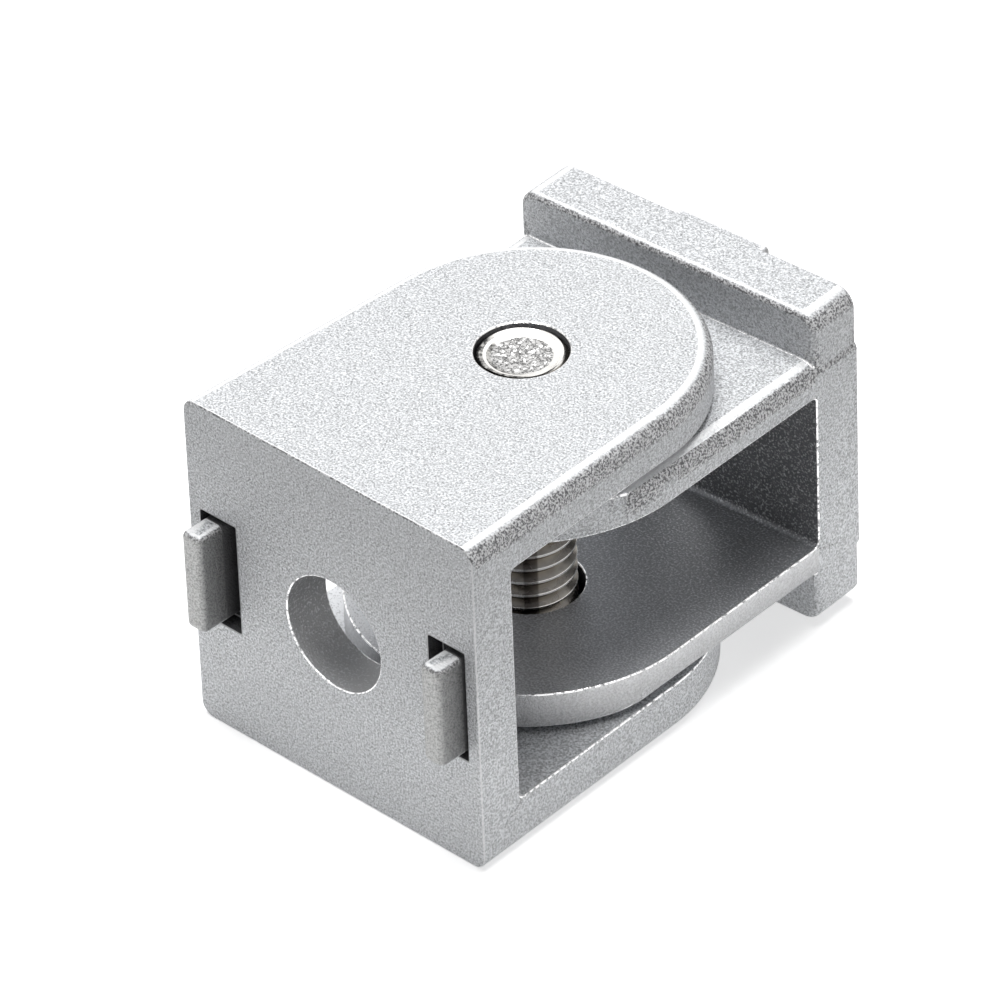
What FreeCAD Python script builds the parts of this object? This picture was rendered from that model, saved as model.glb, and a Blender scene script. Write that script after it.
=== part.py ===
import FreeCAD, Part
import math
import os

# Profile pivot joint for 20 mm slotted profile, in millimetres.
# Origin: centre of the outer fork's mounting face.
# +Y runs from that face towards the inner fork, +Z is the pivot axis.

# Outer fork
OUTER_WIDTH = 20.0
OUTER_HEIGHT = 19.75
OUTER_PLATE = 2.8
OUTER_REACH = 14.05
OUTER_END_OFFSET = 0.4
OUTER_TAPER_DEG = 2.7
OUTER_EDGE_RADIUS = 0.8
OUTER_FACE_RADIUS = 0.1
UPPER_OUTER_EAR = 2.65
LOWER_OUTER_EAR = 2.95
OUTER_LUG_INSET = 1.0

# Inner fork, fitted to the outer one
INNER_SIDE_INSET = 0.15
INNER_REACH = 14.5
INNER_TAPER_DEG = 1.0
INNER_EDGE_RADIUS = 0.85
UPPER_INNER_EAR = 2.0
LOWER_INNER_EAR = 2.05
UPPER_EAR_GAP = 0.4
LOWER_EAR_GAP = 0.35
INNER_PLATE = 3.25
FLANGE_SIDE_INSET = 0.15
FLANGE_END_INSET = 0.3
FLANGE_CORNER_RADIUS = 1.05
FLANGE_EDGE_RADIUS = 0.35
INNER_LUG_INSET = 0.95

# Features that both forks share
MOUNT_BORE_RADIUS = 3.25
WINDOW_CORNER_RADIUS = 0.35
LUG_LENGTH = 5.95
LUG_THICKNESS = 1.35
LUG_STANDOFF = 1.65
LUG_EDGE_RADIUS = 0.35
POCKET_DEPTH = 1.0
POCKET_OUTER_GAP = 0.2
POCKET_INNER_GAP = 0.95
POCKET_END_GAP = 0.35

# Pivot screw, M5 countersunk with a hexagon socket
SCREW_RADIUS = 2.45
THREAD_RADIUS = 2.4
THREAD_CLEARANCE = 0.05
PIVOT_HOLE_CLEARANCE = 0.35
SEAT_HOLE_CLEARANCE = 0.2
HEAD_RADIUS = 4.8
HEAD_RIM = 0.25
HEAD_RECESS = 0.1
HEAD_RIM_CLEARANCE = 0.1
SOCKET_ACROSS_FLATS = 3.0
SOCKET_DEPTH = 1.9
SCREW_END_RECESS = 0.15
END_CHAMFER = 0.15
END_DISH_RADIUS = 1.6
END_DISH_DEPTH = 0.15

# The inner fork's swing from straight in the stored pose
REST_SWING_DEG = 3.4

PAST = 1.0
UP = FreeCAD.Vector(0, 0, 1)
ALONG = FreeCAD.Vector(0, 1, 0)

outer_top = OUTER_HEIGHT / 2
outer_bottom = -OUTER_HEIGHT / 2
window_top = outer_top - UPPER_OUTER_EAR
window_bottom = outer_bottom + LOWER_OUTER_EAR
inner_top = window_top - UPPER_EAR_GAP
inner_bottom = window_bottom + LOWER_EAR_GAP
gap_top = inner_top - UPPER_INNER_EAR
gap_bottom = inner_bottom + LOWER_INNER_EAR
inner_width = OUTER_WIDTH - 2 * INNER_SIDE_INSET
flange_width = inner_width - 2 * FLANGE_SIDE_INSET
flange_height = OUTER_HEIGHT - 2 * FLANGE_END_INSET


def point(x, y, z=0.0):
    return FreeCAD.Vector(x, y, z)


def box(x_range, y_range, z_range):
    """A box between pairs of x, y and z limits."""
    size = [high - low for low, high in (x_range, y_range, z_range)]
    corner = point(x_range[0], y_range[0], z_range[0])
    return Part.makeBox(size[0], size[1], size[2], corner)


def rod(radius, low, high, x=0.0, y=0.0):
    """A cylinder along Z between two heights."""
    return Part.makeCylinder(radius, high - low, point(x, y, low), UP)


def edges_where(shape, test):
    """The edges whose bounding box passes a test."""
    return [edge for edge in shape.Edges if test(edge.BoundBox)]


def lies_at(low, high, value):
    return abs(low - value) < 1e-4 and abs(high - value) < 1e-4


def fork_plan(half_width, end_centre, taper_deg):
    """Plan of a fork: flat mounting face on y = 0, tapering sides that run
    tangent into a round end."""
    slope = math.radians(taper_deg)
    end_radius = (half_width - end_centre * math.tan(slope)) * math.cos(slope)
    side_x = end_radius * math.cos(slope)
    side_y = end_centre + end_radius * math.sin(slope)
    foot_right = point(half_width, 0)
    foot_left = point(-half_width, 0)
    side_right = point(side_x, side_y)
    side_left = point(-side_x, side_y)
    tip = point(0, end_centre + end_radius)
    outline = Part.Wire([
        Part.LineSegment(foot_left, foot_right).toShape(),
        Part.LineSegment(foot_right, side_right).toShape(),
        Part.Arc(side_right, tip, side_left).toShape(),
        Part.LineSegment(side_left, foot_left).toShape(),
    ])
    return Part.Face(outline)


def between(face, low, high):
    """A plan face stretched between two heights."""
    base = face.copy()
    base.translate(point(0, 0, low))
    return base.extrude(point(0, 0, high - low))


def window(plate, low, high, half_width, reach):
    """The space between two ears, open at both sides and at the round end,
    with small fillets where the ears leave the plate."""
    space = box((-half_width, half_width), (plate, reach), (low, high))
    roots = edges_where(space, lambda b: lies_at(b.YMin, b.YMax, plate) and b.XLength > PAST)
    return space.makeFillet(WINDOW_CORNER_RADIUS, roots)


def mounting_bore(plate):
    """Clearance hole for the screw into a profile's end."""
    return Part.makeCylinder(MOUNT_BORE_RADIUS, plate + 2 * PAST, point(0, -PAST, 0), ALONG)


def lug(outer_edge):
    """One locating lug, standing out of the mounting face from its pocket's floor."""
    inner_edge = outer_edge - LUG_THICKNESS
    half = LUG_LENGTH / 2
    block = box((inner_edge, outer_edge), (-LUG_STANDOFF, POCKET_DEPTH), (-half, half))
    rounded = edges_where(block, lambda b: not lies_at(b.YMin, b.YMax, POCKET_DEPTH))
    return block.makeFillet(LUG_EDGE_RADIUS, rounded)


def lug_pocket(outer_edge):
    """The recess round one locating lug."""
    inner_edge = outer_edge - LUG_THICKNESS
    half = LUG_LENGTH / 2 + POCKET_END_GAP
    span = (inner_edge - POCKET_INNER_GAP, outer_edge + POCKET_OUTER_GAP)
    return box(span, (-PAST, POCKET_DEPTH), (-half, half))


def add_lugs(fork, outer_edge, turn_deg):
    """A pair of lugs in their pockets, on opposite edges of the mounting face."""
    for angle in (turn_deg, turn_deg + 180):
        pocket = lug_pocket(outer_edge)
        pocket.rotate(point(0, 0), ALONG, angle)
        key = lug(outer_edge)
        key.rotate(point(0, 0), ALONG, angle)
        fork = fork.cut(pocket).fuse(key)
    return fork.removeSplitter()


def make_outer_fork():
    plan = fork_plan(OUTER_WIDTH / 2, OUTER_REACH + OUTER_END_OFFSET, OUTER_TAPER_DEG)
    body = between(plan, outer_bottom, outer_top)
    rims = edges_where(body, lambda b: b.ZLength < 1e-4 and b.YLength > PAST)
    body = body.makeFillet(OUTER_EDGE_RADIUS, rims)
    face_outline = edges_where(body, lambda b: lies_at(b.YMin, b.YMax, 0))
    body = body.makeFillet(OUTER_FACE_RADIUS, face_outline)
    reach = OUTER_REACH + OUTER_WIDTH
    body = body.cut(window(OUTER_PLATE, window_bottom, window_top, OUTER_WIDTH, reach))
    body = body.cut(mounting_bore(OUTER_PLATE))
    tapped = THREAD_RADIUS + THREAD_CLEARANCE
    body = body.cut(rod(tapped, window_top - PAST, outer_top + PAST, y=OUTER_REACH))
    body = body.cut(screw_seat())
    return add_lugs(body, OUTER_WIDTH / 2 - OUTER_LUG_INSET, 0)


def screw_seat():
    """Countersink in the lower outer ear, and the hole above it."""
    head_face = outer_bottom + HEAD_RECESS
    cone_foot = head_face + HEAD_RIM
    cone_height = HEAD_RADIUS - SCREW_RADIUS
    cone = Part.makeCone(HEAD_RADIUS, SCREW_RADIUS, cone_height, point(0, OUTER_REACH, cone_foot), UP)
    rim = rod(HEAD_RADIUS + HEAD_RIM_CLEARANCE, outer_bottom - PAST, cone_foot, y=OUTER_REACH)
    hole_radius = SCREW_RADIUS + SEAT_HOLE_CLEARANCE
    hole = rod(hole_radius, outer_bottom, window_bottom + PAST, y=OUTER_REACH)
    return cone.fuse(rim).fuse(hole)


def inner_flange():
    """The inner fork's mounting plate, rounded all round the side of the ears."""
    half = flange_width / 2
    plate = box((-half, half), (0, INNER_PLATE), (-flange_height / 2, flange_height / 2))
    corners = edges_where(plate, lambda b: b.YLength > PAST)
    plate = plate.makeFillet(FLANGE_CORNER_RADIUS, corners)
    front = edges_where(plate, lambda b: lies_at(b.YMin, b.YMax, INNER_PLATE))
    return plate.makeFillet(FLANGE_EDGE_RADIUS, front)


def inner_ear_block():
    """Both inner ears as one block: rounded along its straight flanks,
    sharp round its end."""
    half = inner_width / 2
    slope = math.tan(math.radians(INNER_TAPER_DEG))
    length = INNER_REACH + inner_width
    tip_half = half - length * slope
    corners = [point(-half, 0), point(half, 0), point(tip_half, length), point(-tip_half, length)]
    bar = between(Part.Face(Part.makePolygon(corners + corners[:1])), inner_bottom, inner_top)
    flanks = edges_where(bar, lambda b: b.ZLength < 1e-4 and b.YLength > PAST)
    bar = bar.makeFillet(INNER_EDGE_RADIUS, flanks)
    plan = fork_plan(half, INNER_REACH, INNER_TAPER_DEG)
    return bar.common(between(plan, inner_bottom - PAST, inner_top + PAST))


def make_inner_fork():
    body = inner_flange().fuse(inner_ear_block())
    reach = INNER_REACH + inner_width
    body = body.cut(window(INNER_PLATE, gap_bottom, gap_top, inner_width, reach))
    body = body.cut(mounting_bore(INNER_PLATE))
    pivot_hole = SCREW_RADIUS + PIVOT_HOLE_CLEARANCE
    body = body.cut(rod(pivot_hole, inner_bottom - PAST, inner_top + PAST, y=INNER_REACH))
    body = add_lugs(body, flange_height / 2 - INNER_LUG_INSET, 90)
    body.rotate(point(0, 0), UP, 180)
    body.translate(point(0, OUTER_REACH + INNER_REACH))
    body.rotate(point(0, OUTER_REACH), UP, REST_SWING_DEG)
    return body


def make_pivot_screw():
    """Revolved about the pivot axis: head, shank, threaded length in the upper
    outer ear and dished end."""
    foot = outer_bottom + HEAD_RECESS
    cone_foot = foot + HEAD_RIM
    cone_top = cone_foot + HEAD_RADIUS - SCREW_RADIUS
    end = outer_top - SCREW_END_RECESS
    rim = THREAD_RADIUS - END_CHAMFER
    half_section = [
        (0, foot),
        (HEAD_RADIUS, foot),
        (HEAD_RADIUS, cone_foot),
        (SCREW_RADIUS, cone_top),
        (SCREW_RADIUS, window_top),
        (THREAD_RADIUS, window_top),
        (THREAD_RADIUS, end - END_CHAMFER),
        (rim, end),
        (END_DISH_RADIUS, end - END_DISH_DEPTH),
        (0, end - END_DISH_DEPTH),
        (0, foot),
    ]
    section = Part.Face(Part.makePolygon([point(r, OUTER_REACH, z) for r, z in half_section]))
    screw = section.revolve(point(0, OUTER_REACH), UP, 360)
    return Part.Solid(screw.Shells[0]).cut(hexagon_socket(foot))


def hexagon_socket(foot):
    """Socket in the screw's head, with a drill-point floor."""
    corner = SOCKET_ACROSS_FLATS / math.sqrt(3)
    turns = [math.radians(60 * i) for i in range(7)]
    ring = [point(corner * math.cos(a), OUTER_REACH + corner * math.sin(a), foot - PAST) for a in turns]
    hexagon = Part.Face(Part.makePolygon(ring)).extrude(point(0, 0, SOCKET_DEPTH + PAST))
    floor_radius = SOCKET_ACROSS_FLATS / 2
    floor = Part.makeCone(floor_radius, 0, floor_radius / 2, point(0, OUTER_REACH, foot + SOCKET_DEPTH), UP)
    return hexagon.fuse(floor)


def as_solid(shape):
    """The single closed solid of a shape."""
    solids = shape.Solids
    if len(solids) != 1:
        raise ValueError("expected one solid, found %d" % len(solids))
    return solids[0]


NODES = {
    "outer_fork": make_outer_fork,
    "inner_fork": make_inner_fork,
    "pivot_screw": make_pivot_screw,
}

os.makedirs("parts", exist_ok=True)
for name, make in NODES.items():
    solid = as_solid(make())
    solid.exportStep("parts/%s.step" % name)
    bounds = solid.BoundBox
    print(
        "%-12s valid %s, %8.1f mm3, x %.2f..%.2f, y %.2f..%.2f, z %.2f..%.2f"
        % (name, solid.isValid(), solid.Volume, bounds.XMin, bounds.XMax, bounds.YMin, bounds.YMax,
           bounds.ZMin, bounds.ZMax)
    )
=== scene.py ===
import math
from types import SimpleNamespace

import bmesh
import bpy
from mathutils import Euler, Matrix, Vector, noise


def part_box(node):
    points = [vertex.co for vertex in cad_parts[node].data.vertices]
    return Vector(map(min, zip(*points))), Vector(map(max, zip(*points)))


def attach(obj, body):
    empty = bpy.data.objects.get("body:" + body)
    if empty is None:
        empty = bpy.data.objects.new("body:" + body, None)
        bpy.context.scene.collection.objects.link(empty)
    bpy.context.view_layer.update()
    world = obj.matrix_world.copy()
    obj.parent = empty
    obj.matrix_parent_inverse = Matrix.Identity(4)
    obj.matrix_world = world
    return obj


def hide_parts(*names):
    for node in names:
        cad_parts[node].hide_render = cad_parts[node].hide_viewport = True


# Lengths are in metres and angles in degrees, unless a name or a comment says otherwise.
# A pair of numbers is a span, and four are a colour with its alpha.
MM = 0.001
FAR = 1.0
NOWHERE = (-2 * FAR, -FAR)
WHITE = (1.0, 1.0, 1.0, 1.0)

# The photograph's camera: a long lens, turned round the point it looks at
LOOK_AT = Vector((-1.238, 13.314, 0.409)) * MM
CAMERA_DISTANCE = 465.3 * MM
CAMERA_AZIMUTH = 45.095
CAMERA_ELEVATION = 36.083
CAMERA_ROLL = -2.352
CAMERA_LENS_MM = 330.69
SENSOR_MM = 36.0

# Floor, world and the one lamp, whose power is in watts
FLOOR_SIZE = 3.0
FLOOR_COLOUR = (0.9, 0.9, 0.9, 1.0)
FLOOR_GLOW = 0.58
WORLD_LIGHT = 0.10
KEY_PLACE = Vector((-0.03, 0.045, 0.42))
KEY_SIZE = 0.27
KEY_POWER = 1.93

# Places on both forks. A mask reaches a margin past what it covers.
MASK_MARGIN = 0.02 * MM
PIVOT_Y = 14.05 * MM
BORE_RADIUS = 3.25 * MM
LUG_STANDOFF = 1.65 * MM
RECESS_DEPTH = 1.0 * MM
RECESS_ACROSS = (6.7 * MM, 9.2 * MM)  # on the outer fork, and within 0.4 mm on the inner one
RECESS_HALF_LENGTH = 3.32 * MM

# What differs between the forks
OUTER_FORK = {
    "swing": 0.0,  # turn about the pivot at rest
    "face_y": 0.0,  # where the mounting face is
    "outward": -1.0,  # the way it looks along Y
    "plate": 2.8 * MM,  # thickness of the plate behind it
    "gap_z": (-6.925 * MM, 7.225 * MM),  # between the ears
    "arris_reach": 0.15 * MM,  # how deep the painted highlight reaches on the face's upright edges
    "recess_axes": ("X", "Z"),  # across and along a recess
    "shaded_rim_y": (0.2 * MM, FAR),  # where the top's rim has painted shade
    "shaded_rim_z": (8.6 * MM, 9.7 * MM),
    "pivot_hole": 2.45 * MM,  # radius of the upper ear's pivot hole
    "flank_z": NOWHERE,  # the lit band on the lower ear's end
    "gap_paint": 0.9,  # share of paint on level faces in the gap
}
INNER_FORK = {
    "swing": 3.4,
    "face_y": 28.55 * MM,
    "outward": 1.0,
    "plate": 3.25 * MM,
    "gap_z": (-4.525 * MM, 4.825 * MM),
    "arris_reach": 0.35 * MM,
    "recess_axes": ("Z", "X"),
    "shaded_rim_y": (14.5 * MM, 25.2 * MM),
    "shaded_rim_z": (5.6 * MM, 6.75 * MM),
    "pivot_hole": 2.8 * MM,
    "flank_z": (-6.6 * MM, -4.5 * MM),
    "gap_paint": 0.0,
}

# Noises with their scale per metre, the spans of their values that count, and their shares
NOISE_ROUGHNESS = 0.6
GRAIN_NOISE = {"scale": 8600.0, "detail": 1.5}
CONTOUR_NOISE = {"scale": 5000.0, "detail": 1.0}
FLOW_NOISE = {"scale": 700.0, "detail": 2.0}
WEAR_NOISE = {"scale": 4200.0, "detail": 2.0}
STAIN_NOISE = {"scale": 900.0, "detail": 2.0}
BLOB_NOISE = {"scale": 3600.0, "detail": 3.0}
CRISP_SPAN = (0.40, 0.60)
LINE_SPAN = (0.0, 0.04)
STREAK_SPAN = (0.35, 0.65)
SCRATCH_AND_GLINT_SPAN = (0.54, 0.66)
RUBBED_SPAN = (0.36, 0.50)
CRISP_SHARE = 0.55
LINE_SHARE = 0.45

# Spans of the normal's Z, of its size in Z, and for ASKEW of the lesser of its X and Y
TURNED_UP = (0.05, 0.25)
NEARLY_UP = (0.74, 0.88)
BRINK_HIGHLIGHT_START = (0.84, 0.93)
BRINK_HIGHLIGHT_END = (0.9985, 0.9999)
BORE_FACING = (-0.5, 0.9)
TONE_UPRIGHT = (0.2, 0.7)
LUG_UPRIGHT = (0.2, 0.8)
FLANK_UPRIGHT = (0.3, 0.6)
GAP_LEVEL = (0.4, 0.9)
ASKEW = (0.2, 0.4)

# Silver paint on the castings' outside, with painted highlights, painted shade and painted light
PAINT_DARK = (0.196, 0.201, 0.209, 1.0)
PAINT_LIGHT = (0.888, 0.903, 0.926, 1.0)
PAINT_METAL = 0.3
PAINT_ROUGH = 0.46
PAINT_BUMP = 1.0
SPECKLE_HEIGHT = 0.03 * MM
# Painted shade, with a coarse speckle, on the top's rims and on faces turned partly up
RIM_SHADE_DARK = (0.12, 0.12, 0.125, 1.0)
RIM_SHADE_LIGHT = (0.68, 0.68, 0.69, 1.0)
RIM_FADE = 0.25 * MM
# A painted highlight along the brinks of level faces and on the mounting face's upright edges
BRINK_HIGHLIGHT = (0.96, 0.965, 0.975, 1.0)
ARRIS_HIGHLIGHT_SHARE = 0.7
# Painted shade on upright faces towards the top, and painted light towards the bottom
UPPER_SHADE_SPAN = (-4.0 * MM, 8.0 * MM)
UPPER_SHADE_SHARE = 0.30
LOWER_LIGHT_SPAN = (-9.0 * MM, 0.0)
LOWER_LIGHT_SHARE = 0.12
# Painted shade on the lugs' upright faces towards the recess; lighter at the tip, and pitted
LUG_PAINTED_SHADE = (0.14, 0.14, 0.14, 1.0)
LUG_OUTER = (0.66, 0.66, 0.65, 1.0)
LUG_PIT = (0.06, 0.06, 0.06, 1.0)
LUG_SHARE = 0.85
LUG_TIP = (1.25 * MM, LUG_STANDOFF)
LUG_FADE = (-0.1 * MM, LUG_STANDOFF)
LUG_FADE_SHARE = 0.4
LUG_PIT_SPAN = (0.2, 0.8)
LUG_PIT_SHARE = 0.5
FLANK_LOW = (0.42, 0.42, 0.425, 1.0)
FLANK_HIGH = (0.98, 0.98, 0.99, 1.0)
FLANK_SHARE = 0.6

# The castings between their ears, and in the bores and recesses, with painted shade and painted light
# Painted shade on the bare upright faces between the ears, streaked
SHADED_WALL_DARK = (0.17, 0.175, 0.185, 1.0)
SHADED_WALL_LIGHT = (0.21, 0.215, 0.225, 1.0)
FLAT_DARK = (0.62, 0.63, 0.655, 1.0)
FLAT_LIGHT = (0.68, 0.69, 0.715, 1.0)
# Painted shade on the level faces towards the far end
FAR_FLAT_SHADE = (0.42, 0.43, 0.45, 1.0)
FAR_END = (12.0 * MM, 22.0 * MM)
FAR_SIDE = (-4.5 * MM, -2.5 * MM)
FAR_SPECKLE_SPAN = (0.0, 0.5)
GAP_PIT = (0.10, 0.10, 0.11, 1.0)
GAP_PIT_SHARE = 0.35
# Bright specks: scratches, and painted glints
SCRATCH_AND_GLINT = (0.85, 0.86, 0.88, 1.0)
SCRATCH_AND_GLINT_SHARE = 0.6
GAP_METAL = 0.4
GAP_ROUGH = 0.38
GAP_BUMP = 0.2
# Painted shade where the bore's wall looks down, and painted light where it looks up
BORE_SHADE = (0.26, 0.262, 0.27, 1.0)
BORE_LIT = (0.52, 0.522, 0.53, 1.0)
# Painted shade in the recesses, deeper further in; the deepest tone is also painted on the pivot holes'
# walls
RECESS_MOUTH_SHADE = (0.15, 0.15, 0.155, 1.0)
DEEP_PAINTED_SHADE = (0.04, 0.04, 0.045, 1.0)
RECESS_SHADE = (-0.95 * MM, 0.0)

# Worn edges of the castings, which near the mounting faces only the bores' rims have
WORN_ANGLE = 55.0
WORN_WIDTH = 0.08 * MM
WORN_SEGMENTS = 2
WELD_REACH = 0.001 * MM
WORN_WITHIN = 5.0 * MM
WORN_Y = (1.3 * MM, 27.3 * MM)
WHOLE = (0.42, 0.425, 0.435, 1.0)
WHOLE_METAL = 0.4
WHOLE_ROUGH = 0.45
RUBBED_ROUGH = 0.22

# The pivot screw, M5 with a countersunk head and a dish struck in its end
HEAD_FACE = -9.775 * MM
HEAD_RADIUS = 4.8 * MM
HEAD_RIM = 0.25 * MM
HEAD_EDGE = 0.08 * MM
SOCKET_FLATS = 3.0 * MM
SOCKET_DEPTH = 1.9 * MM
SOCKET_MOUTH = 0.12 * MM
SOCKET_POINT = SOCKET_FLATS / 4
SHANK_RADIUS = 2.45 * MM
SCREW_END = 9.725 * MM
END_CHAMFER = 0.26 * MM
RING_RADIUS = 2.12 * MM
DISH_RADIUS = 1.6 * MM
DISH_DEPTH = 0.2 * MM
DISH_FLOOR = SCREW_END - DISH_DEPTH
DISH_RINGS = 14
HAMMER_DEPTH = 0.07 * MM
HAMMER_GRAIN = 0.16 * MM
SCREW_SIDES = 96
MERGE_REACH = 0.0005 * MM
SHARP_ANGLE = 32.0

# Its thread: land, flank and rounding are shares of the pitch, and the phase is one of a turn
THREAD_PITCH = 0.8 * MM
CREST_RADIUS = 2.43 * MM
ROOT_RADIUS = 1.97 * MM
CREST_ROUND = 0.02 * MM
THREAD_LAND = 0.12
THREAD_FLANK = 0.35
THREAD_ROUND = 0.03
THREAD_PHASE = 0.7
THREAD_RUN_IN = THREAD_PITCH / 2
SPARE_TURNS = 2

# Its steel: stained flanks, a bright end, painted highlights on the crests, painted shade in the roots
# and a painted dark reflection down two sides
STEEL_DARK = (0.25, 0.23, 0.205, 1.0)
STEEL_LIGHT = (0.40, 0.375, 0.34, 1.0)
# Bright steel on the end, also painted on the crests as a highlight
BRIGHT_END_AND_CREST_GLINT = (1.0, 0.98, 0.95, 1.0)
STEEL_ROUGH_SPAN = (0.3, 0.7)
STEEL_ROUGH = (0.22, 0.34)
CREST_GLINT_BAND = (CREST_RADIUS - 1.5 * CREST_ROUND, CREST_RADIUS - 0.5 * CREST_ROUND)
ROOT_SHADE_BAND = (ROOT_RADIUS, ROOT_RADIUS + 3 * CREST_ROUND)
# Painted shade in the thread's roots
ROOT_SHADE = (0.05, 0.045, 0.04, 1.0)
ROOT_SHADE_SHARE = 0.75
# A painted dark reflection down two opposite sides of the thread
DARK_REFLECTION = (0.06, 0.05, 0.045, 1.0)
DARK_REFLECTION_TURN = 45.0
DARK_REFLECTION_BAND = (0.32 * MM, 0.42 * MM)
DARK_REFLECTION_SHARE = 0.65

# Its end: a ring with mottled painted shade on one side but for a clean line, round the dish
MOTTLE_SPAN = (0.42, 0.60)
MOTTLE_SHADE_DARK = (0.05, 0.05, 0.05, 1.0)
MOTTLE_SHADE_LIGHT = (0.60, 0.59, 0.57, 1.0)
MOTTLE_SHADE_TURN = 67.5
MOTTLE_SHADE_SIDE = (-1.0 * MM, -0.4 * MM)
CLEAN_LINE = (1.8 * MM, 1.98 * MM)
HAMMER_SPAN = (0.0, 0.07)
HAMMER_DARK = (0.04, 0.04, 0.04, 1.0)
HAMMER_LIGHT = (0.70, 0.695, 0.69, 1.0)
BLOB_HEIGHT = 0.08 * MM
THREAD_BUMP = 0.05
DISH_BUMP = 0.5


def shader_tree(name):
    """A new material, its node tree and its Principled shader."""
    material = bpy.data.materials.new(name)
    material.use_nodes = True
    return material, material.node_tree, material.node_tree.nodes["Principled BSDF"]


def add(tree, kind, **values):
    """A new shader node. Values name its properties or its input sockets."""
    node = tree.nodes.new(kind)
    for key, value in values.items():
        if hasattr(node, key):
            setattr(node, key, value)
        else:
            node.inputs[key].default_value = value
    return node


def maths(tree, operation, *values):
    """A Math node between sockets or numbers."""
    node = add(tree, "ShaderNodeMath", operation=operation)
    for socket, value in zip(node.inputs, values):
        if isinstance(value, (int, float)):
            socket.default_value = value
        else:
            tree.links.new(value, socket)
    return node.outputs[0]


def product(tree, first, *others):
    """The product of two or more sockets."""
    for other in others:
        first = maths(tree, "MULTIPLY", first, other)
    return first


def opposite(tree, share):
    """The share that is left."""
    return maths(tree, "SUBTRACT", 1.0, share)


def within(tree, value, low, high):
    """1 where a value lies between two limits."""
    above = maths(tree, "GREATER_THAN", value, low)
    below = maths(tree, "LESS_THAN", value, high)
    return product(tree, above, below)


def spread(tree, value, span, first, last):
    """Goes from first to last while a value crosses a span, and is even outside it."""
    node = add(tree, "ShaderNodeMapRange")
    for name, number in zip(("From Min", "From Max", "To Min", "To Max"), (*span, first, last)):
        node.inputs[name].default_value = number
    tree.links.new(value, node.inputs["Value"])
    return node.outputs["Result"]


def rise(tree, value, span, top=1.0):
    """0 before a span and top after it."""
    return spread(tree, value, span, 0.0, top)


def fall(tree, value, span, top=1.0):
    """top before a span and 0 after it."""
    return spread(tree, value, span, top, 0.0)


def blend(tree, share, first, second):
    """A number between two others, by a share."""
    return spread(tree, share, (0.0, 1.0), first, second)


def mix_colour(tree, share, first, second):
    """Mixes two colours, each a socket or a tuple, by the second one's share."""
    node = add(tree, "ShaderNodeMix", data_type="RGBA")
    tree.links.new(share, node.inputs["Factor"])
    for name, value in (("A", first), ("B", second)):
        socket = [s for s in node.inputs if s.name == name and s.type == "RGBA"][0]
        if isinstance(value, tuple):
            socket.default_value = value
        else:
            tree.links.new(value, socket)
    return [s for s in node.outputs if s.type == "RGBA"][0]


def lay_over(tree, colour, *layers):
    """A colour under layers, each a pair of its share and its colour."""
    for share, layer in layers:
        colour = mix_colour(tree, share, colour, layer)
    return colour


def cloud(tree, place, scale, detail):
    """A noise in space."""
    node = add(tree, "ShaderNodeTexNoise", Scale=scale, Detail=detail, Roughness=NOISE_ROUGHNESS)
    tree.links.new(place, node.inputs["Vector"])
    return node.outputs["Fac"]


def contour(tree, value, span):
    """0 along the lines where a noise has its middle value, and 1 away from them."""
    off_middle = maths(tree, "ABSOLUTE", maths(tree, "SUBTRACT", value, 0.5))
    return rise(tree, off_middle, span)


def object_place(tree):
    """The point's place in the part's frame at rest."""
    return add(tree, "ShaderNodeTexCoord").outputs["Object"]


def split(tree, vector):
    """A vector's parts, as sockets named X, Y and Z."""
    node = add(tree, "ShaderNodeSeparateXYZ")
    tree.links.new(vector, node.inputs["Vector"])
    return node.outputs


def from_line(tree, first, second):
    """Distance from the line where two coordinates are 0."""
    squares = [maths(tree, "POWER", value, 2.0) for value in (first, second)]
    return maths(tree, "SQRT", maths(tree, "ADD", *squares))


def bump(tree, shader, strength, height, distance):
    """Bump from a height, on a shader's normal."""
    node = add(tree, "ShaderNodeBump", Distance=distance)
    tree.links.new(strength, node.inputs["Strength"])
    tree.links.new(height, node.inputs["Height"])
    tree.links.new(node.outputs["Normal"], shader.inputs["Normal"])


def read_fork(tree, fork):
    """The sockets that a fork's finish follows, in the fork's own axes. past_face is the
    distance out of the mounting face, and level is 1 on level faces and 0 on upright ones."""
    spot = SimpleNamespace(place=object_place(tree))
    turned = add(tree, "ShaderNodeVectorRotate", rotation_type="Z_AXIS",
                 Center=(0, PIVOT_Y, 0), Angle=-math.radians(fork["swing"]))
    tree.links.new(spot.place, turned.inputs["Vector"])
    spot.axes = split(tree, turned.outputs["Vector"])
    from_face = maths(tree, "SUBTRACT", spot.axes["Y"], fork["face_y"])
    spot.past_face = maths(tree, "MULTIPLY", from_face, fork["outward"])
    spot.facing = split(tree, add(tree, "ShaderNodeNewGeometry").outputs["Normal"])
    spot.level = maths(tree, "ABSOLUTE", spot.facing["Z"])

    spot.grain = cloud(tree, spot.place, **GRAIN_NOISE)
    spot.crisp = rise(tree, spot.grain, CRISP_SPAN)
    lines = contour(tree, cloud(tree, spot.place, **CONTOUR_NOISE), LINE_SPAN)
    crisp_part = maths(tree, "MULTIPLY", spot.crisp, CRISP_SHARE)
    line_part = maths(tree, "MULTIPLY", lines, LINE_SHARE)
    spot.speckle = maths(tree, "ADD", crisp_part, line_part)

    low, high = fork["gap_z"]
    between_ears = within(tree, spot.axes["Z"], low - MASK_MARGIN, high + MASK_MARGIN)
    spot.beside_plate = maths(tree, "LESS_THAN", spot.past_face, MASK_MARGIN - fork["plate"])
    spot.in_gap = product(tree, between_ears, spot.beside_plate)
    return spot


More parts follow.
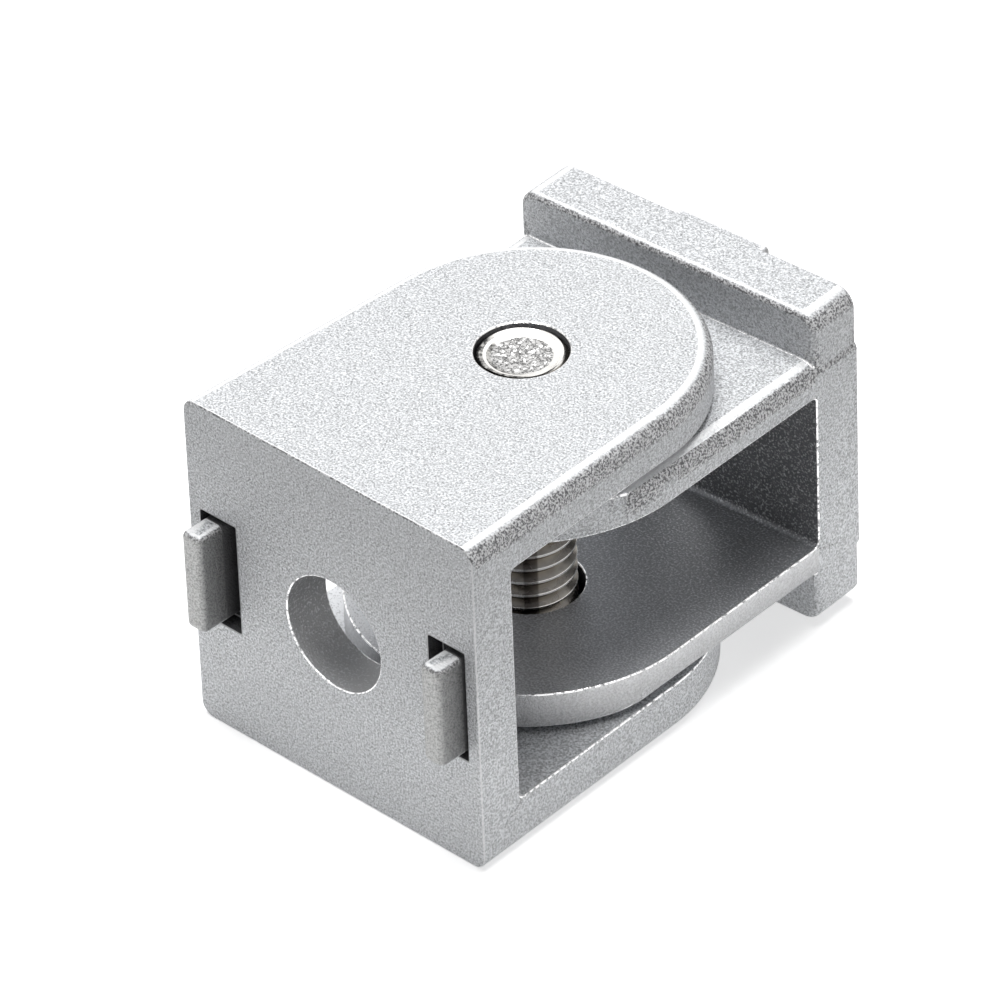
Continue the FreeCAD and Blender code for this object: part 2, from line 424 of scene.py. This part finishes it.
def on_brink_highlight(tree, spot):
    """The painted highlight where a level face starts to turn down."""
    looks_up = spot.facing["Z"]
    return product(tree, rise(tree, looks_up, BRINK_HIGHLIGHT_START), fall(tree, looks_up, BRINK_HIGHLIGHT_END))


def on_arris_highlight(tree, fork, spot):
    """The painted highlight on the mounting face's upright edges."""
    sideways = [maths(tree, "ABSOLUTE", spot.facing[axis]) for axis in ("X", "Y")]
    askew = rise(tree, maths(tree, "MINIMUM", *sideways), ASKEW, ARRIS_HIGHLIGHT_SHARE)
    return product(tree, askew, within(tree, spot.past_face, -fork["arris_reach"], MASK_MARGIN))


def on_shaded_rim(tree, fork, spot):
    """Painted shade, with a coarser speckle, on the rounded rims of a fork's top and on faces turned
    partly up.
    """
    low, high = fork["shaded_rim_z"]
    height = spot.axes["Z"]
    band = product(
        tree,
        rise(tree, height, (low, low + RIM_FADE)),
        fall(tree, height, (high - RIM_FADE, high)),
        within(tree, spot.axes["Y"], *fork["shaded_rim_y"]),
    )
    looks_up = spot.facing["Z"]
    either = maths(tree, "MAXIMUM", rise(tree, looks_up, TURNED_UP), band)
    return product(tree, either, fall(tree, looks_up, NEARLY_UP))


def on_lug(tree, spot):
    """The upright faces of the lugs."""
    outside = maths(tree, "GREATER_THAN", spot.past_face, MASK_MARGIN)
    return product(tree, outside, fall(tree, spot.level, LUG_UPRIGHT, LUG_SHARE))


def lug_paint(tree, spot):
    """Painted shade towards the recess, lighter at the tip, and pitted."""
    tip = rise(tree, spot.past_face, LUG_TIP)
    fade = rise(tree, spot.past_face, LUG_FADE, LUG_FADE_SHARE)
    colour = mix_colour(tree, maths(tree, "MAXIMUM", tip, fade), LUG_PAINTED_SHADE, LUG_OUTER)
    return mix_colour(tree, fall(tree, spot.speckle, LUG_PIT_SPAN, LUG_PIT_SHARE), colour, LUG_PIT)


def on_flank(tree, fork, spot):
    """The lit band on the lower ear's end."""
    band = within(tree, spot.axes["Z"], *fork["flank_z"])
    return product(tree, band, spot.beside_plate, fall(tree, spot.level, FLANK_UPRIGHT, FLANK_SHARE))


def silver_paint(tree, fork, spot):
    """The castings' outside: a fine blasted speckle, with painted highlights along the edges and painted
    shade, with a coarser speckle, on the rims.
    Upright faces get a little painted shade above and painted light below."""
    height = spot.axes["Z"]
    upright = fall(tree, spot.level, TONE_UPRIGHT)
    # Painted shade above and painted light below, on upright faces
    upper = product(tree, rise(tree, height, UPPER_SHADE_SPAN, UPPER_SHADE_SHARE), upright)
    lower = product(tree, fall(tree, height, LOWER_LIGHT_SPAN, LOWER_LIGHT_SHARE), upright)
    rim_shade_paint = mix_colour(tree, spot.crisp, RIM_SHADE_DARK, RIM_SHADE_LIGHT)
    flank_paint = mix_colour(tree, rise(tree, height, fork["flank_z"]), FLANK_LOW, FLANK_HIGH)
    return lay_over(
        tree,
        mix_colour(tree, spot.speckle, PAINT_DARK, PAINT_LIGHT),
        (on_brink_highlight(tree, spot), BRINK_HIGHLIGHT),
        (on_arris_highlight(tree, fork, spot), BRINK_HIGHLIGHT),
        (upper, PAINT_DARK),
        (lower, PAINT_LIGHT),
        (on_shaded_rim(tree, fork, spot), rim_shade_paint),
        (on_lug(tree, spot), lug_paint(tree, spot)),
        (on_flank(tree, fork, spot), flank_paint),
    )


def gap_casting(tree, fork, spot, paint):
    """The casting between the ears, with painted shade on its upright faces and on its level ones towards
    the far end, with pits, and bright specks that are scratches and painted glints.
    Its far side has no painted shade and is painted in the outside's two tones."""
    streak = rise(tree, cloud(tree, spot.place, **FLOW_NOISE), STREAK_SPAN)
    # Painted shade on the upright faces, streaked
    wall = mix_colour(tree, streak, SHADED_WALL_DARK, SHADED_WALL_LIGHT)
    flat = mix_colour(tree, streak, FLAT_DARK, FLAT_LIGHT)
    flat = mix_colour(tree, rise(tree, spot.axes["Y"], FAR_END), flat, FAR_FLAT_SHADE)
    speckle = rise(tree, spot.speckle, FAR_SPECKLE_SPAN)
    far_paint = mix_colour(tree, speckle, PAINT_DARK, PAINT_LIGHT)
    return lay_over(
        tree,
        wall,
        (rise(tree, spot.level, GAP_LEVEL), flat),
        (blend(tree, spot.crisp, GAP_PIT_SHARE, 0.0), GAP_PIT),
        (rise(tree, spot.grain, SCRATCH_AND_GLINT_SPAN, SCRATCH_AND_GLINT_SHARE), SCRATCH_AND_GLINT),
        (rise(tree, spot.level, GAP_LEVEL, fork["gap_paint"]), paint),
        (fall(tree, spot.axes["X"], FAR_SIDE), far_paint),
    )


def in_bore(tree, spot):
    """The wall of the bore through the mounting plate."""
    from_middle = from_line(tree, spot.axes["X"], spot.axes["Z"])
    near = maths(tree, "LESS_THAN", from_middle, BORE_RADIUS + MASK_MARGIN)
    return product(tree, near, opposite(tree, spot.beside_plate))


def bore_casting(tree, spot):
    """Painted light where the bore's wall looks up and painted shade where it looks down, with bright
    specks that are scratches and painted glints.
    """
    colour = mix_colour(tree, rise(tree, spot.facing["Z"], BORE_FACING), BORE_SHADE, BORE_LIT)
    return mix_colour(tree, rise(tree, spot.grain, SCRATCH_AND_GLINT_SPAN, SCRATCH_AND_GLINT_SHARE), colour, SCRATCH_AND_GLINT)


def in_recess(tree, fork, spot):
    """The recesses that the lugs stand in."""
    across, along = [maths(tree, "ABSOLUTE", spot.axes[axis]) for axis in fork["recess_axes"]]
    low, high = RECESS_ACROSS
    return product(
        tree,
        within(tree, spot.past_face, -RECESS_DEPTH - MASK_MARGIN, MASK_MARGIN),
        within(tree, across, low - MASK_MARGIN, high + MASK_MARGIN),
        maths(tree, "LESS_THAN", along, RECESS_HALF_LENGTH + MASK_MARGIN),
    )


def in_pivot_hole(tree, fork, spot):
    """The wall of the pivot hole."""
    past_pivot = maths(tree, "SUBTRACT", spot.axes["Y"], PIVOT_Y)
    radius = from_line(tree, spot.axes["X"], past_pivot)
    return maths(tree, "LESS_THAN", radius, fork["pivot_hole"] + MASK_MARGIN)


def cast_silver(name, fork):
    """A fork's finish: silver paint outside, and bare casting with painted shade in its gap, bore and
    recesses.
    """
    material, tree, shader = shader_tree(name)
    spot = read_fork(tree, fork)
    paint = silver_paint(tree, fork, spot)
    # Painted shade in the recesses grows with depth, and the pivot hole's wall gets the deepest painted
    # shade
    depth = fall(tree, spot.past_face, RECESS_SHADE)
    colour = lay_over(
        tree,
        paint,
        (spot.in_gap, gap_casting(tree, fork, spot, paint)),
        (in_bore(tree, spot), bore_casting(tree, spot)),
        (in_recess(tree, fork, spot), mix_colour(tree, depth, RECESS_MOUTH_SHADE, DEEP_PAINTED_SHADE)),
        (in_pivot_hole(tree, fork, spot), DEEP_PAINTED_SHADE),
    )
    tree.links.new(colour, shader.inputs["Base Color"])
    tree.links.new(blend(tree, spot.in_gap, PAINT_METAL, GAP_METAL), shader.inputs["Metallic"])
    tree.links.new(blend(tree, spot.in_gap, PAINT_ROUGH, GAP_ROUGH), shader.inputs["Roughness"])
    bump(tree, shader, blend(tree, spot.in_gap, PAINT_BUMP, GAP_BUMP), spot.speckle, SPECKLE_HEIGHT)
    return material


def worn_edge():
    """The finish of sharp edges, rubbed bright in places."""
    material, tree, shader = shader_tree("worn_edge")
    place = object_place(tree)
    axes = split(tree, place)
    reach = [maths(tree, "ABSOLUTE", axes[axis]) for axis in ("X", "Z")]
    near_middle = maths(tree, "LESS_THAN", maths(tree, "MAXIMUM", *reach), WORN_WITHIN)
    between_faces = within(tree, axes["Y"], *WORN_Y)
    worn = maths(tree, "MAXIMUM", near_middle, between_faces)
    rubbed = product(tree, rise(tree, cloud(tree, place, **WEAR_NOISE), RUBBED_SPAN), worn)
    tree.links.new(mix_colour(tree, rubbed, WHOLE, WHITE), shader.inputs["Base Color"])
    tree.links.new(blend(tree, rubbed, WHOLE_METAL, 1.0), shader.inputs["Metallic"])
    tree.links.new(blend(tree, rubbed, WHOLE_ROUGH, RUBBED_ROUGH), shader.inputs["Roughness"])
    return material


def read_screw(tree):
    """The sockets that the screw's finish follows. on_end is 1 from the level of the
    dish's floor upwards, and in_dish is 1 inside the dish."""
    spot = SimpleNamespace(place=object_place(tree))
    spot.axes = split(tree, spot.place)
    spot.past_pivot = maths(tree, "SUBTRACT", spot.axes["Y"], PIVOT_Y)
    spot.radius = from_line(tree, spot.axes["X"], spot.past_pivot)
    spot.on_end = maths(tree, "GREATER_THAN", spot.axes["Z"], DISH_FLOOR - MASK_MARGIN)
    in_dish = maths(tree, "LESS_THAN", spot.radius, DISH_RADIUS - MASK_MARGIN)
    above = maths(tree, "GREATER_THAN", spot.axes["Z"], DISH_FLOOR - HAMMER_DEPTH - MASK_MARGIN)
    spot.in_dish = product(tree, above, in_dish)
    spot.stain = cloud(tree, spot.place, **STAIN_NOISE)
    spot.blobs = cloud(tree, spot.place, **BLOB_NOISE)
    return spot


def across_screw(tree, spot, turn):
    """Distance from the screw's axis along a level direction, at a turn from X."""
    sideways = maths(tree, "MULTIPLY", spot.axes["X"], math.cos(math.radians(turn)))
    lengthways = maths(tree, "MULTIPLY", spot.past_pivot, math.sin(math.radians(turn)))
    return maths(tree, "ADD", sideways, lengthways)


def thread_steel(tree, spot):
    """Stained flanks, a bright end, painted highlights on the crests, painted shade in the roots, and a
    painted dark reflection down two opposite sides.
    """
    on_thread = opposite(tree, spot.on_end)
    # Bright steel on the end, and a painted highlight on the crests
    bright = maths(tree, "MAXIMUM", rise(tree, spot.radius, CREST_GLINT_BAND), spot.on_end)
    root_shade = product(tree, fall(tree, spot.radius, ROOT_SHADE_BAND, ROOT_SHADE_SHARE), on_thread)
    across = maths(tree, "ABSOLUTE", across_screw(tree, spot, DARK_REFLECTION_TURN))
    reflected = product(tree, fall(tree, across, DARK_REFLECTION_BAND, DARK_REFLECTION_SHARE), on_thread)
    stained = mix_colour(tree, rise(tree, spot.stain, STREAK_SPAN), STEEL_DARK, STEEL_LIGHT)
    return lay_over(tree, stained, (bright, BRIGHT_END_AND_CREST_GLINT), (root_shade, ROOT_SHADE), (reflected, DARK_REFLECTION))


def on_shaded_side_of_ring(tree, spot):
    """The side of the end's ring with mottled painted shade, without its clean line."""
    side = fall(tree, across_screw(tree, spot, MOTTLE_SHADE_TURN), MOTTLE_SHADE_SIDE)
    off_line = opposite(tree, within(tree, spot.radius, *CLEAN_LINE))
    return product(tree, spot.on_end, side, off_line)


def screw_steel():
    """Plain steel, a little warm, with mottled painted shade on one side of the end's ring and a hammered
    dish in its end.
    """
    material, tree, shader = shader_tree("screw_steel")
    spot = read_screw(tree)
    # Mottled painted shade on one side of the end's ring
    mottled = mix_colour(tree, rise(tree, spot.blobs, MOTTLE_SPAN), MOTTLE_SHADE_DARK, MOTTLE_SHADE_LIGHT)
    hammered = mix_colour(tree, contour(tree, spot.blobs, HAMMER_SPAN), HAMMER_DARK, HAMMER_LIGHT)
    colour = lay_over(
        tree,
        thread_steel(tree, spot),
        (on_shaded_side_of_ring(tree, spot), mottled),
        (spot.in_dish, hammered),
    )
    tree.links.new(colour, shader.inputs["Base Color"])
    shader.inputs["Metallic"].default_value = 1.0
    tree.links.new(spread(tree, spot.stain, STEEL_ROUGH_SPAN, *STEEL_ROUGH), shader.inputs["Roughness"])
    bump(tree, shader, blend(tree, spot.in_dish, THREAD_BUMP, DISH_BUMP), spot.blobs, BLOB_HEIGHT)
    return material


def finish_node(node, *materials):
    """Gives a piece its materials, in the order of their indices."""
    node.data.materials.clear()
    for material in materials:
        node.data.materials.append(material)


def soften_edges(node):
    """Rounds a casting's sharp edges a little, in its second material, and shades the rest
    from its large faces."""
    weld = node.modifiers.new("weld", "WELD")
    weld.merge_threshold = WELD_REACH
    bevel = node.modifiers.new("edge_wear", "BEVEL")
    bevel.limit_method = "ANGLE"
    bevel.angle_limit = math.radians(WORN_ANGLE)
    bevel.width = WORN_WIDTH
    bevel.segments = WORN_SEGMENTS
    bevel.material = 1
    bevel.use_clamp_overlap = False
    shade = node.modifiers.new("shade", "WEIGHTED_NORMAL")
    shade.keep_sharp = False


def round_pivot(radius, turn, height):
    """A point at a radius from the pivot axis. Its turn is in radians."""
    return Vector((radius * math.cos(turn), PIVOT_Y + radius * math.sin(turn), height))


def circle(radius, height):
    """A ring of points round the pivot axis."""
    return [round_pivot(radius, math.tau * i / SCREW_SIDES, height) for i in range(SCREW_SIDES)]


def hexagon(flats, height):
    """A ring of points on a hexagon's outline, at the same turns as circle()'s."""
    corner_turn = math.tau / 6
    ring = []
    for i in range(SCREW_SIDES):
        turn = math.tau * i / SCREW_SIDES
        off_middle = (turn + corner_turn / 2) % corner_turn - corner_turn / 2
        ring.append(round_pivot(flats / 2 / math.cos(off_middle), turn, height))
    return ring


def thread_section():
    """Share of the pitch and radius at the thread's corners, from its root over its crest."""
    shoulder = CREST_RADIUS - CREST_ROUND
    first_shoulder = THREAD_LAND + THREAD_FLANK
    first_crest = first_shoulder + THREAD_ROUND
    last_crest = first_crest + THREAD_LAND
    return [
        (0.0, ROOT_RADIUS),
        (THREAD_LAND, ROOT_RADIUS),
        (first_shoulder, shoulder),
        (first_crest, CREST_RADIUS),
        (last_crest, CREST_RADIUS),
        (last_crest + THREAD_ROUND, shoulder),
    ]


def thread_radius(share):
    """The thread's radius at a share of its pitch."""
    corners = thread_section() + [(1.0, ROOT_RADIUS)]
    share = share % 1.0
    for (low, first), (high, second) in zip(corners, corners[1:]):
        if share <= high:
            return first + (second - first) * (share - low) / (high - low)
    return ROOT_RADIUS


def thread_point(step, side, low, high):
    """A point of the helical thread, held between two heights. The thread grows out of
    the root at the low one and is chamfered at the high one."""
    section = thread_section()
    turns = side / SCREW_SIDES
    share = step // len(section) + section[step % len(section)][0]
    height = low + (share + turns - 1 - THREAD_PHASE) * THREAD_PITCH
    held = max(low, min(high, height))
    radius = thread_radius((held - low) / THREAD_PITCH + THREAD_PHASE - turns)
    grown = min(1.0, (held - low) / THREAD_RUN_IN)
    radius = ROOT_RADIUS + (radius - ROOT_RADIUS) * grown
    radius = min(radius, CREST_RADIUS - max(0.0, END_CHAMFER - (high - held)))
    return round_pivot(radius, math.tau * turns, held)


def add_rings(mesh, rings):
    """Faces between rings of points, one after the other."""
    rows = [[mesh.verts.new(p) for p in ring] for ring in rings]
    for lower, upper in zip(rows, rows[1:]):
        for i in range(SCREW_SIDES):
            j = (i + 1) % SCREW_SIDES
            mesh.faces.new((lower[i], lower[j], upper[j], upper[i]))
    return rows


def close_ring(mesh, row, apex):
    """Faces from a ring to a point."""
    tip = mesh.verts.new(apex)
    for i in range(SCREW_SIDES):
        mesh.faces.new((row[i], row[(i + 1) % SCREW_SIDES], tip))


def add_thread(mesh, low, high):
    """The helical thread between two heights. Gives its last row, at the high one."""
    turns = math.ceil((high - low) / THREAD_PITCH) + SPARE_TURNS
    rows = []
    for step in range(turns * len(thread_section())):
        points = [thread_point(step, side, low, high) for side in range(SCREW_SIDES + 1)]
        rows.append([mesh.verts.new(p) for p in points])
    for lower, upper in zip(rows, rows[1:]):
        for i in range(SCREW_SIDES):
            mesh.faces.new((lower[i], lower[i + 1], upper[i + 1], upper[i]))
    return rows[-1]


def dish_ring(radius):
    """A ring of the screw end's dish, uneven as it was struck."""
    ring = circle(radius, DISH_FLOOR)
    fade = min(1.0, (DISH_RADIUS - radius) / HAMMER_GRAIN)
    for p in ring:
        p.z += HAMMER_DEPTH * fade * noise.noise(p / HAMMER_GRAIN)
    return ring


def finished_piece(name, mesh):
    """An object from a mesh, with its normals outward and its sharp edges kept."""
    bmesh.ops.remove_doubles(mesh, verts=mesh.verts, dist=MERGE_REACH)
    bmesh.ops.dissolve_degenerate(mesh, edges=mesh.edges, dist=MERGE_REACH)
    bmesh.ops.recalc_face_normals(mesh, faces=mesh.faces)
    for face in mesh.faces:
        face.smooth = True
    for edge in mesh.edges:
        edge.smooth = edge.is_manifold and edge.calc_face_angle() < math.radians(SHARP_ANGLE)
    data = bpy.data.meshes.new(name)
    mesh.to_mesh(data)
    mesh.free()
    piece = bpy.data.objects.new(name, data)
    bpy.context.scene.collection.objects.link(piece)
    return piece


def make_screw():
    """The threaded screw with its countersunk head, hexagon socket and dished end."""
    mesh = bmesh.new()
    socket_floor = HEAD_FACE + SOCKET_DEPTH
    neck = HEAD_FACE + HEAD_RIM + HEAD_RADIUS - SHANK_RADIUS
    foot = neck + SHANK_RADIUS - ROOT_RADIUS
    head = add_rings(mesh, [
        circle(SOCKET_FLATS / 2, socket_floor),
        hexagon(SOCKET_FLATS, socket_floor),
        hexagon(SOCKET_FLATS, HEAD_FACE + SOCKET_MOUTH),
        circle(SOCKET_FLATS / math.sqrt(3) + SOCKET_MOUTH, HEAD_FACE),
        circle(HEAD_RADIUS - HEAD_EDGE, HEAD_FACE),
        circle(HEAD_RADIUS, HEAD_FACE + HEAD_EDGE),
        circle(HEAD_RADIUS, HEAD_FACE + HEAD_RIM),
        circle(SHANK_RADIUS, neck),
        circle(ROOT_RADIUS, foot),
    ])
    close_ring(mesh, head[0], Vector((0, PIVOT_Y, socket_floor + SOCKET_POINT)))
    top = add_thread(mesh, foot, SCREW_END)
    dish = [circle(RING_RADIUS, SCREW_END), circle(DISH_RADIUS, DISH_FLOOR)]
    dish += [dish_ring(DISH_RADIUS * (1 - i / DISH_RINGS)) for i in range(1, DISH_RINGS)]
    rows = add_rings(mesh, [[v.co.copy() for v in top[:-1]]] + dish)
    close_ring(mesh, rows[-1], Vector((0, PIVOT_Y, DISH_FLOOR)))
    return finished_piece("pivot_screw_thread", mesh)


def make_camera():
    """The camera at the photograph's place, looking at LOOK_AT."""
    data = bpy.data.cameras.new("camera")
    data.lens = CAMERA_LENS_MM
    data.sensor_width = SENSOR_MM
    camera = bpy.data.objects.new("camera", data)
    bpy.context.scene.collection.objects.link(camera)
    tilt = math.radians(90 - CAMERA_ELEVATION)
    turn = math.radians(CAMERA_AZIMUTH)
    aim = Euler((tilt, 0, turn)).to_matrix()
    roll = Matrix.Rotation(math.radians(CAMERA_ROLL), 3, "Z")
    place = Matrix.Translation(LOOK_AT + aim @ Vector((0, 0, CAMERA_DISTANCE)))
    camera.matrix_world = place @ (aim @ roll).to_4x4()
    bpy.context.scene.camera = camera


def seen_directly(tree):
    """1 for rays that show the stage itself: camera, mirror and glass rays."""
    path = add(tree, "ShaderNodeLightPath").outputs
    either = maths(tree, "MAXIMUM", path["Is Camera Ray"], path["Is Glossy Ray"])
    return maths(tree, "MAXIMUM", either, path["Is Transmission Ray"])


def make_floor(height):
    """A pale floor that reads white and keeps the object's shadow."""
    mesh = bpy.data.meshes.new("floor")
    half = FLOOR_SIZE / 2
    corners = [(-half, -half, height), (half, -half, height), (half, half, height), (-half, half, height)]
    mesh.from_pydata(corners, [], [(0, 1, 2, 3)])
    floor = bpy.data.objects.new("floor", mesh)
    bpy.context.scene.collection.objects.link(floor)
    material, tree, shader = shader_tree("floor")
    shader.inputs["Base Color"].default_value = FLOOR_COLOUR
    shader.inputs["Roughness"].default_value = 1.0
    shader.inputs["Specular IOR Level"].default_value = 0.0
    shader.inputs["Emission Color"].default_value = WHITE
    glow = maths(tree, "MULTIPLY", seen_directly(tree), FLOOR_GLOW)
    tree.links.new(glow, shader.inputs["Emission Strength"])
    mesh.materials.append(material)


def make_world():
    """White where it is seen or mirrored, and a plain soft fill elsewhere."""
    world = bpy.data.worlds.new("world")
    bpy.context.scene.world = world
    world.use_nodes = True
    tree = world.node_tree
    background = tree.nodes["Background"]
    background.inputs["Color"].default_value = WHITE
    strength = blend(tree, seen_directly(tree), WORLD_LIGHT, 1.0)
    tree.links.new(strength, background.inputs["Strength"])


def softbox(name, place, size, power):
    """A square lamp that faces the object."""
    data = bpy.data.lights.new(name, "AREA")
    data.shape = "SQUARE"
    data.size = size
    data.energy = power
    lamp = bpy.data.objects.new(name, data)
    bpy.context.scene.collection.objects.link(lamp)
    lamp.location = place
    lamp.rotation_euler = (LOOK_AT - place).to_track_quat("-Z", "Y").to_euler()


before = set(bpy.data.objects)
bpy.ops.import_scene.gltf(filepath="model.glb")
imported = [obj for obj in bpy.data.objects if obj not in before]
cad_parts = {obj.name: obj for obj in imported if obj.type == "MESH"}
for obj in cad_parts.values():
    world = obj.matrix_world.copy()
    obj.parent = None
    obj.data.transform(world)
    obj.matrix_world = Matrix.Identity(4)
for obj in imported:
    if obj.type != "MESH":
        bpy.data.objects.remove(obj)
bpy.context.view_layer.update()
bpy.context.scene.view_settings.view_transform = "Standard"

outer_silver = cast_silver("cast_silver_outer", OUTER_FORK)
inner_silver = cast_silver("cast_silver_inner", INNER_FORK)
edge = worn_edge()
finish_node(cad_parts["outer_fork"], outer_silver, edge)
finish_node(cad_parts["inner_fork"], inner_silver, edge)
for name in ("outer_fork", "inner_fork"):
    soften_edges(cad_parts[name])

screw = make_screw()
finish_node(screw, screw_steel())
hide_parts("pivot_screw")
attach(screw, "outer")

make_camera()
make_floor(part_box("outer_fork")[0].z)
make_world()
softbox("key", KEY_PLACE, KEY_SIZE, KEY_POWER)
